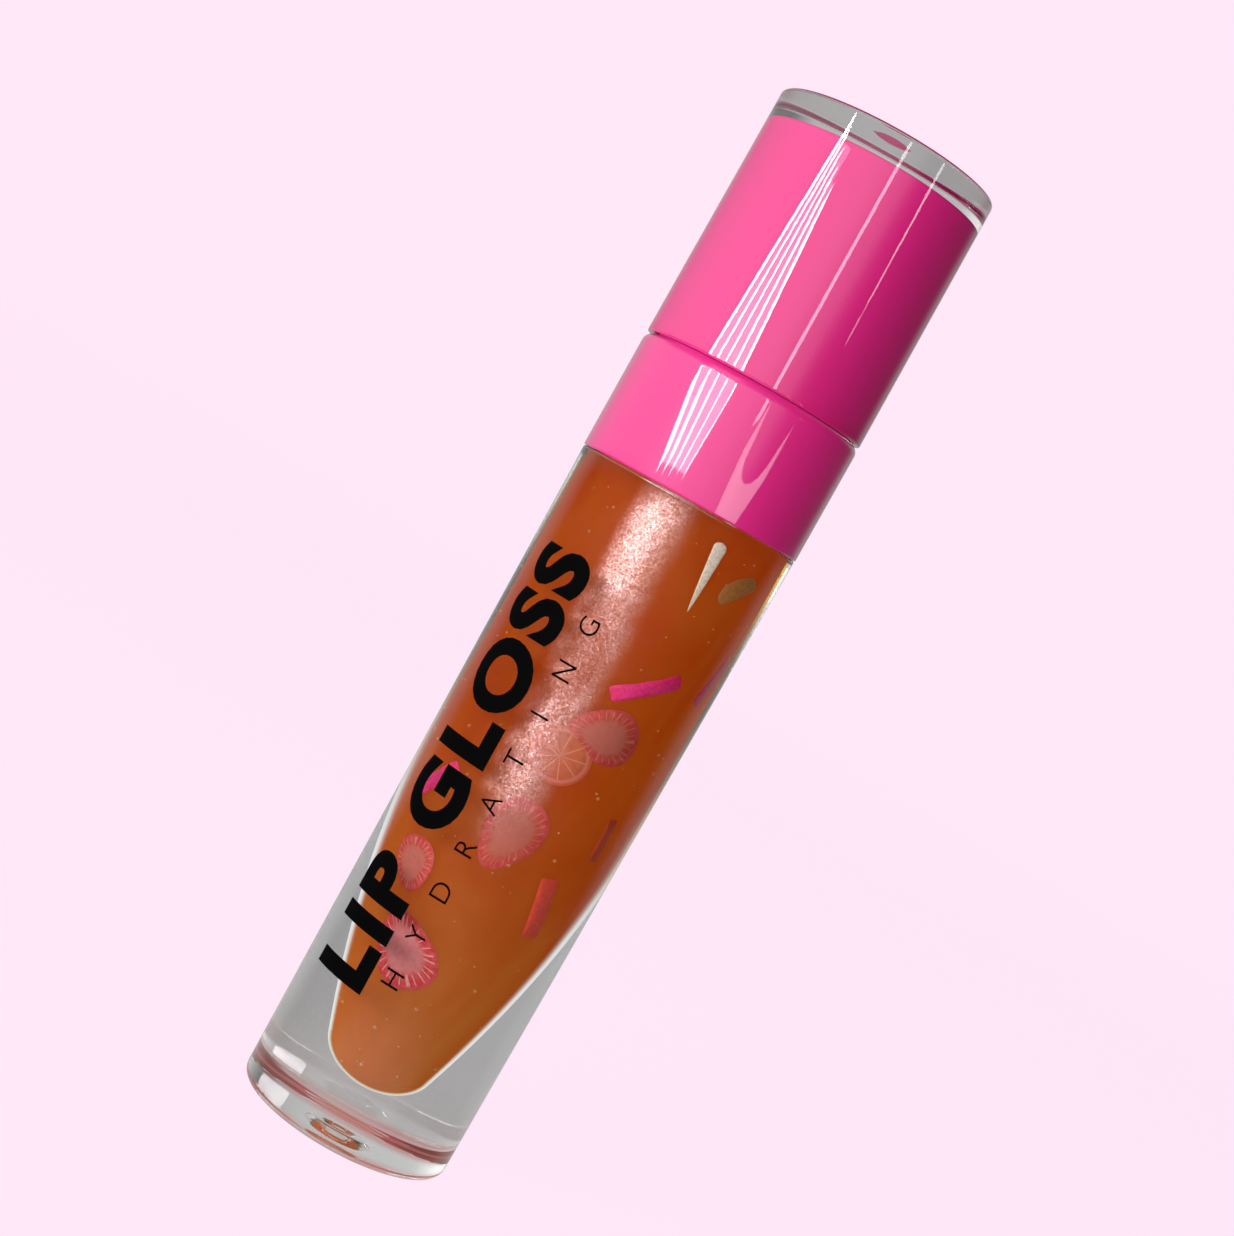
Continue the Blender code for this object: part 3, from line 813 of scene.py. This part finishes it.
# Name, outline, height, azimuth, roll, length, width, and how far the gloss veils it.
FRUIT = [
    ("strawberry_slice_1", strawberry, 43.6, 27, -75, 6.2, 5.8, 0.40),
    ("strawberry_slice_2", strawberry, 32.0, 4, -11, 7.4, 5.4, 0.45),
    ("strawberry_slice_3", strawberry, 18.2, -25, 211, 7.0, 6.0, 0.08),
    ("strawberry_slice_4", strawberry, 25.2, -50, 20, 5.0, 4.6, 0.35),
    ("strawberry_slice_5", strawberry, 52.0, -150, 35, 6.6, 5.4, 0.0),
    ("orange_slice_1", disc, 40.3, 7, 20, 5.3, 5.3, 0.42),
    ("orange_slice_2", disc, 36.0, 172, 0, 5.3, 5.3, 0.0),
    ("lemon_wedge_1", wedge, 60.4, 66, 40, 2.6, 4.4, 0.5),
    ("fruit_stick_1", stick, 49.1, 38, -54, 7.2, 1.6, 0.0),
    ("fruit_stick_2", stick, 52.3, 97, -20, 6.4, 1.6, 0.15),
    ("fruit_stick_3", stick, 32.4, -68, -40, 6.6, 1.7, 0.0),
    ("fruit_stick_4", stick, 27.2, 52, 14, 6.6, 1.9, 0.25),
    ("fruit_stick_5", stick, 35.0, 71, 2, 4.8, 1.3, 0.6),
    ("fruit_stick_6", stick, 25.0, 158, 40, 6.4, 1.6, 0.0),
]
MAGENTA = (0.72, 0.015, 0.19)
STICK_COLOURS = {"fruit_stick_4": (0.82, 0.06, 0.05), "fruit_stick_5": (0.75, 0.03, 0.01)}

# What each outline is made of: its material, its slot and its thickness.
CLAYS = {
    strawberry: (strawberry_clay, "strawberry_clay", 0.5),
    disc: (orange_clay, "orange_clay", 0.5),
    wedge: (lemon_clay, "lemon_clay", 0.5),
    stick: (stick_clay, "stick_clay", 0.9),
}


def make_fruit():
    for name, outline, z, azimuth, roll, length, width, haze in FRUIT:
        clay, slot, thickness = CLAYS[outline]
        colour = [STICK_COLOURS.get(name, MAGENTA)] if outline is stick else []
        mat = clay(f"{name}_clay", haze, *colour)
        piece = fruit_piece(f"{name}_piece", outline, z, azimuth, roll, length, width, thickness, mat)
        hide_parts(name)
        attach(piece, TUBE)


def thicken(work, thickness):
    """Gives a flat drawing its ink's thickness."""
    made = bmesh.ops.extrude_face_region(work, geom=work.faces[:])
    top = [v for v in made["geom"] if isinstance(v, bmesh.types.BMVert)]
    bmesh.ops.translate(work, verts=top, vec=(0, 0, thickness * MM))
    bmesh.ops.recalc_face_normals(work, faces=work.faces)


def bend_round(mesh, azimuth):
    """Wraps a flat drawing round the bottle: x runs up the tube, y runs round it, z is the ink's height."""
    for v in mesh.vertices:
        x, y, lift = v.co / MM
        radius = bottle_radius(x)
        v.co = on_wall(azimuth - degrees(y / radius), x, radius + lift)


def ink_word(name, word, azimuth, place_z, height, weight, ink, length=None):
    """A word in the built-in plain typeface, cut into strips and bent round the bottle, to be read upwards.

    It starts at place_z and fills length, or it keeps its own proportions and is centred on place_z.
    """
    spacing, strip, lift, thickness = 1.17, 0.3, 0.02, 0.03
    curve = bpy.data.curves.new(name, "FONT")
    curve.body = word
    curve.offset = weight
    curve.space_character = spacing
    curve.resolution_u = 6
    obj = bpy.data.objects.new(f"{name}_flat", curve)
    bpy.context.scene.collection.objects.link(obj)
    bpy.context.view_layer.update()
    mesh = bpy.data.meshes.new_from_object(obj.evaluated_get(bpy.context.evaluated_depsgraph_get()))
    bpy.data.objects.remove(obj, do_unlink=True)
    work = bmesh.new()
    work.from_mesh(mesh)
    low = Vector([min(v.co[i] for v in work.verts) for i in range(3)])
    high = Vector([max(v.co[i] for v in work.verts) for i in range(3)])
    scale_y = height / (high.y - low.y)
    scale_x = length / (high.x - low.x) if length else scale_y
    middle = (low + high) / 2
    centre = place_z + length / 2 if length else place_z
    for v in work.verts:
        v.co = Vector((centre + (v.co.x - middle.x) * scale_x, (v.co.y - middle.y) * scale_y, lift)) * MM
    cuts = ceil(height / strip)
    for i in range(1, cuts):
        y = (i / cuts - 0.5) * height * MM
        geometry = work.verts[:] + work.edges[:] + work.faces[:]
        bmesh.ops.bisect_plane(work, geom=geometry, plane_co=(0, y, 0), plane_no=(0, 1, 0))
    bmesh.ops.remove_doubles(work, verts=work.verts, dist=1e-7)
    thicken(work, thickness)
    work.to_mesh(mesh)
    work.free()
    bend_round(mesh, azimuth)
    smooth(mesh)
    mesh.name = name
    return add_object(name, mesh, ink)


def make_print():
    """Generic words: one heavy line, and one of thin letters set wide apart."""
    ink = print_ink()
    azimuth, start, height, weight = -41.0, 13.4, 6.7, 0.046
    heavy = ink_word("heavy_word", "LIP GLOSS", azimuth, start, height, weight, ink, length=43.2)
    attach(heavy, TUBE)
    azimuth, start, height, weight, step = -12.5, 16.2, 1.75, -0.010, 4.42
    for i, letter in enumerate("HYDRATING"):
        thin = ink_word(f"thin_letter_{i + 1}", letter, azimuth, start + i * step, height, weight, ink)
        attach(thin, TUBE)


def make_bubbles():
    """Small air bubbles hung in the gloss just under the wall, one piece of many beads."""
    random.seed(7)
    count, depth = 190, 0.04
    work = bmesh.new()
    for _ in range(count):
        z = random.uniform(6.0, 64.0)
        azimuth = random.uniform(-180, 180)
        radius = random.choice((0.05, 0.06, 0.08, 0.10, 0.14))
        centre = on_wall(azimuth, z, cavity_radius(z) - radius - depth)
        spot = Matrix.Translation(centre)
        bmesh.ops.create_icosphere(work, subdivisions=2, radius=radius * MM, matrix=spot)
    bubbles = add_object("air_bubbles", finished("air_bubbles", work, 180), bubble_film())
    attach(bubbles, TUBE)


def make_long_bubble():
    """A smear of trapped air high on the wall: round above, drawn out to a point below."""
    rows, sides = 40, 24
    top, bottom = 63.6, 56.8
    top_azimuth, bottom_azimuth = 33.0, 35.0
    half_width, head_share, depth, flatness = 0.62, 0.09, 0.2, 0.12
    work = bmesh.new()
    loops = []
    for i in range(rows + 1):
        share = i / rows
        z = between(top, bottom, share)
        azimuth = between(top_azimuth, bottom_azimuth, share)
        head = sqrt(1 - (1 - min(share / head_share, 1.0)) ** 2)
        half = half_width * head * (1 - share) ** 0.75 + 0.01
        base = cavity_radius(z) - depth
        loop = []
        for k in range(sides):
            a = 2 * pi * k / sides
            point = on_wall(azimuth + degrees(half * cos(a) / base), z, base + flatness * half * sin(a))
            loop.append(work.verts.new(point))
        loops.append(loop)
    skin_loops(work, loops)
    bubble = add_object("long_bubble", finished("long_bubble", work, 60), painted_air_sheen())
    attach(bubble, TUBE)


def dress_cad_nodes():
    """Gives the inner pieces that keep their CAD shape their own materials."""
    looks = {
        "wiper": white_plastic("wiper_plastic", (0.80, 0.80, 0.80)),
        "wand_holder": white_plastic("white_plastic", (0.84, 0.84, 0.82)),
        "wand_stem": white_plastic("stem_plastic", (0.84, 0.84, 0.82), coated_below=GLOSS_TOP),
        "cap_liner": foam(),
        "applicator_tip": flock(),
    }
    for name, mat in looks.items():
        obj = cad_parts[name]
        obj.data.materials.clear()
        obj.data.materials.append(mat)
        smooth(obj.data, 35)


# ---------------------------------------------------------------------- studio

BACKDROP = (1.0, 0.807, 0.939)
AIM = Vector((0, 0, 0.0627))


def spot_at(azimuth, slope, distance):
    """A point at a level distance from the tube, as high over AIM as slope times that distance."""
    a = radians(azimuth)
    return AIM + Vector((sin(a), -cos(a), slope)) * distance


def rectangle_light(name, middle, axes, width, height, power, colour):
    """A rectangle that shines along its own -Z, which the camera doesn't see."""
    light = bpy.data.lights.new(name, "AREA")
    light.shape = "RECTANGLE"
    light.size, light.size_y = width, height
    light.energy = power
    light.color = colour
    obj = bpy.data.objects.new(name, light)
    bpy.context.scene.collection.objects.link(obj)
    obj.matrix_world = Matrix.Translation(middle) @ axes.to_4x4()
    obj.visible_camera = False


def strip_light(name, low, high, width, radiance, colour=(1, 1, 1)):
    """A thin strip between two directions, each (azimuth, slope), at a fixed distance."""
    reach = 0.6
    a, b = spot_at(*low, reach), spot_at(*high, reach)
    middle, along = (a + b) / 2, b - a
    up = along.normalized()
    side = up.cross((middle - AIM).normalized()).normalized()
    axes = Matrix((side, up, side.cross(up))).transposed()
    rectangle_light(name, middle, axes, width, along.length, radiance * pi * width * along.length, colour)


def bent_strip(name, path, width, radiance, colour=(1, 1, 1)):
    """A strip that follows a path of (azimuth, slope) points."""
    for i, (low, high) in enumerate(zip(path, path[1:])):
        strip_light(f"{name}_{i + 1}", low, high, width, radiance, colour)


# The bank of lights on the left: how high its foot, elbow and top are, as slopes.
BANK_FOOT, BANK_ELBOW, BANK_TOP = 0.030, 0.085, 0.27


def bank_edges(slope):
    """The bank's left and right azimuths at a slope: it is widest at its elbow and narrows both ways."""
    if slope < BANK_ELBOW:
        share = (slope - BANK_FOOT) / (BANK_ELBOW - BANK_FOOT)
        return between(-41.0, -54.0, share), between(-17.0, -15.0, share)
    share = (slope - BANK_ELBOW) / (BANK_TOP - BANK_ELBOW)
    return between(-54.0, -42.0, share), between(-15.0, -33.0, share)


def make_key():
    """A soft square light, high on the left."""
    spot = spot_at(-35, 0.9, 0.62)
    facing = (AIM - spot).to_track_quat("-Z", "Y").to_matrix()
    rectangle_light("key", spot, facing, 0.45, 0.45, 0.9, (1.0, 0.98, 0.98))


def make_bank():
    """A lilac panel in rows, and five bent tubes that fan over it."""
    rows, panel_top, lilac = 10, 0.25, (0.88, 0.82, 1.0)
    slopes = [between(BANK_FOOT, panel_top, i / rows) for i in range(rows + 1)]
    for i, (start, end) in enumerate(zip(slopes, slopes[1:])):
        left, right = bank_edges((start + end) / 2)
        middle = (left + right) / 2
        width = 0.6 * radians(right - left)
        strip_light(f"panel_{i + 1}", (middle, start), (middle, end), width, 8.0 - 0.55 * i, lilac)
    tubes = 5
    for i in range(tubes):
        share = i / (tubes - 1)
        path = []
        for slope in (BANK_FOOT, BANK_ELBOW, BANK_TOP - 0.05 * share):
            left, right = bank_edges(slope)
            path.append((between(left, right, share), slope))
        bent_strip(f"tube_{i + 1}_low", path[:2], 0.010, 22.0)
        bent_strip(f"tube_{i + 1}_high", path[1:], 0.016 - 0.004 * share, 26.0)


def make_thin_lamps():
    """On the right: a line near the front, a line far round, and a hairpin below and between them."""
    pale = (1.0, 0.90, 0.95)
    bent_strip("near_line", [(16.0, 0.27), (16.5, 0.15), (17.0, 0.075)], 0.030, 8.0, pale)
    step = 0.03
    for i in range(4):
        azimuth, slope = 54.0 + 0.5 * i, 0.27 - step * i
        path = [(azimuth, slope), (azimuth + 0.5, slope - step)]
        bent_strip(f"far_line_{i + 1}", path, 0.026 - 0.006 * i, 7.0, pale)
    bend_azimuth, bend_slope = 36.0, 0.045
    bend = [pi * k / 8 for k in range(9)]
    hairpin = [(20.0, 0.075)]
    hairpin += [(bend_azimuth - 12.0 * cos(a), bend_slope - 0.022 * sin(a)) for a in bend]
    hairpin += [(51.0, 0.068)]
    bent_strip("hairpin", hairpin, 0.022, 5.0, (1.0, 0.86, 0.92))


# How bright the room is that the object sees, by azimuth. A colour ramp's stops hold it at half its level.
ROOM_SCALE = 0.5
ROOM = [
    (-180, 0.46),
    (-140, 0.55),
    (-112, 1.15),
    (-95, 1.50),
    (-70, 1.80),
    (0, 1.80),
    (32, 1.00),
    (52, 0.18),
    (80, 0.04),
    (114, 0.22),
    (150, 0.40),
    (180, 0.46),
]


def make_world():
    """Pale pink to the camera. To the object a room: bright on the left, dim on the right, grey behind."""
    world = bpy.data.worlds.new("studio")
    bpy.context.scene.world = world
    world.use_nodes = True
    tree = world.node_tree
    tree.nodes.clear()
    ray = node(tree, "ShaderNodeTexCoord").outputs["Generated"]
    side, depth, height = xyz(tree, ray)
    azimuth = maths(tree, "ARCTAN2", side, times(tree, depth, -1.0))
    share = maths(tree, "ADD", maths(tree, "DIVIDE", azimuth, 2 * pi), 0.5)
    walls = node(tree, "ShaderNodeValToRGB", {"Fac": share})
    stops = walls.color_ramp.elements
    while len(stops) < len(ROOM):
        stops.new(0.5)
    for stop, (angle, level) in zip(stops, ROOM):
        stop.position = angle / 360 + 0.5
        stop.color = (*[level * ROOM_SCALE] * 3, 1.0)
    raised = ramp(tree, height, -0.012, 0.02)
    lowered = maths(tree, "SUBTRACT", 1.0, raised)
    # In front the room is dark below the horizon, but for the floor near by; behind it is even.
    upper = times(tree, maths(tree, "MAXIMUM", raised, 0.07), ramp(tree, height, 0.28, 0.6, 1.0, 0.2))
    front = maths(tree, "ADD", upper, ramp(tree, height, -0.235, -0.30, 0.0, 0.5))
    back = ramp(tree, height, -0.22, -0.27, 1.0, 1.25)
    behind = ramp(tree, depth, 0.30, 0.62)
    front = times(tree, front, maths(tree, "SUBTRACT", 1.0, behind))
    band = maths(tree, "ADD", front, times(tree, back, behind))
    # The left is dimmer below the horizon, and the right is dimmer above it.
    left = times(tree, lowered, ramp(tree, side, -0.55, -0.85, 0.0, 0.5))
    right = times(tree, raised, ramp(tree, side, 0.45, 0.75, 0.0, 0.8))
    dimming = maths(tree, "SUBTRACT", 1.0, maths(tree, "ADD", left, right))
    level = times(tree, maths(tree, "DIVIDE", walls.outputs[0], ROOM_SCALE), band, dimming)
    room = node(tree, "ShaderNodeBackground", {"Color": (0.98, 0.99, 0.98, 1.0), "Strength": level})
    seen = node(tree, "ShaderNodeBackground", {"Color": (*BACKDROP, 1.0), "Strength": 1.0})
    camera = node(tree, "ShaderNodeLightPath").outputs["Is Camera Ray"]
    output = tree.nodes.new("ShaderNodeOutputWorld")
    tree.links.new(blended(tree, camera, room.outputs[0], seen.outputs[0]), output.inputs["Surface"])


def make_floor():
    """A pale floor that fades into the backdrop. To the camera it is nearly the backdrop's colour."""
    radius, drop = 1.6, 0.0002
    work = bmesh.new()
    bmesh.ops.create_circle(work, cap_ends=True, segments=96, radius=radius)
    mesh = bpy.data.meshes.new("floor")
    work.to_mesh(mesh)
    work.free()
    mat, tree = new_material("floor")
    where = place(tree)
    reach = node(tree, "ShaderNodeVectorMath", {0: where}, operation="LENGTH").outputs["Value"]
    near = ramp(tree, reach, 0.25, 1.2, 1.0, 0.0)
    grain = clouds(tree, where, 900.0, 2.0)
    tone = mixed(tree, ramp(tree, grain, 0.3, 0.7), (0.78, 0.78, 0.79), (0.82, 0.82, 0.83))
    paint = node(tree, "ShaderNodeBsdfDiffuse", {"Color": tone})
    glow = node(tree, "ShaderNodeEmission", {"Color": (*BACKDROP, 1.0), "Strength": 0.93})
    faint = node(tree, "ShaderNodeBsdfDiffuse", {"Color": (0.14, 0.115, 0.13, 1.0)})
    lifted = node(tree, "ShaderNodeAddShader", {0: glow.outputs[0], 1: faint.outputs[0]})
    camera = node(tree, "ShaderNodeLightPath").outputs["Is Camera Ray"]
    surface = blended(tree, camera, paint.outputs[0], lifted.outputs[0])
    clear = node(tree, "ShaderNodeBsdfTransparent")
    floor = add_object("floor", mesh, shown(mat, blended(tree, near, clear.outputs[0], surface)))
    floor.location.z = -drop
    floor.visible_glossy = False


def make_camera():
    """The photograph's view: close, from just below the collar, and rolled so that the tube leans."""
    stand = (0, -0.20823, 0.06267)
    yaw, pitch, roll = -0.0030, -0.0467, -0.5110
    ahead = Vector((sin(yaw) * cos(pitch), cos(yaw) * cos(pitch), sin(pitch)))
    right = Vector((cos(yaw), -sin(yaw), 0))
    up = right.cross(ahead)
    across = right * cos(roll) - up * sin(roll)
    upward = right * sin(roll) + up * cos(roll)
    camera = bpy.data.cameras.new("camera")
    camera.sensor_width = 36.0
    camera.lens = 66.54
    camera.clip_start = 0.01
    obj = bpy.data.objects.new("camera", camera)
    bpy.context.scene.collection.objects.link(obj)
    axes = Matrix((across, upward, -ahead)).transposed().to_4x4()
    obj.matrix_world = Matrix.Translation(stand) @ axes
    bpy.context.scene.camera = obj


def set_view():
    scene = bpy.context.scene
    scene.view_settings.view_transform = "Standard"
    scene.cycles.use_denoising = True
    scene.cycles.caustics_refractive = False
    scene.cycles.caustics_reflective = False


make_camera()
make_world()
make_key()
make_bank()
make_thin_lamps()
make_floor()
set_view()

CLEAR = clear_plastic()
make_bottle(CLEAR, wetted_wall())
make_collar(pink_plastic())
make_cap(CLEAR, cup_plastic())
make_gloss()
make_fruit()
make_print()
make_bubbles()
make_long_bubble()
dress_cad_nodes()
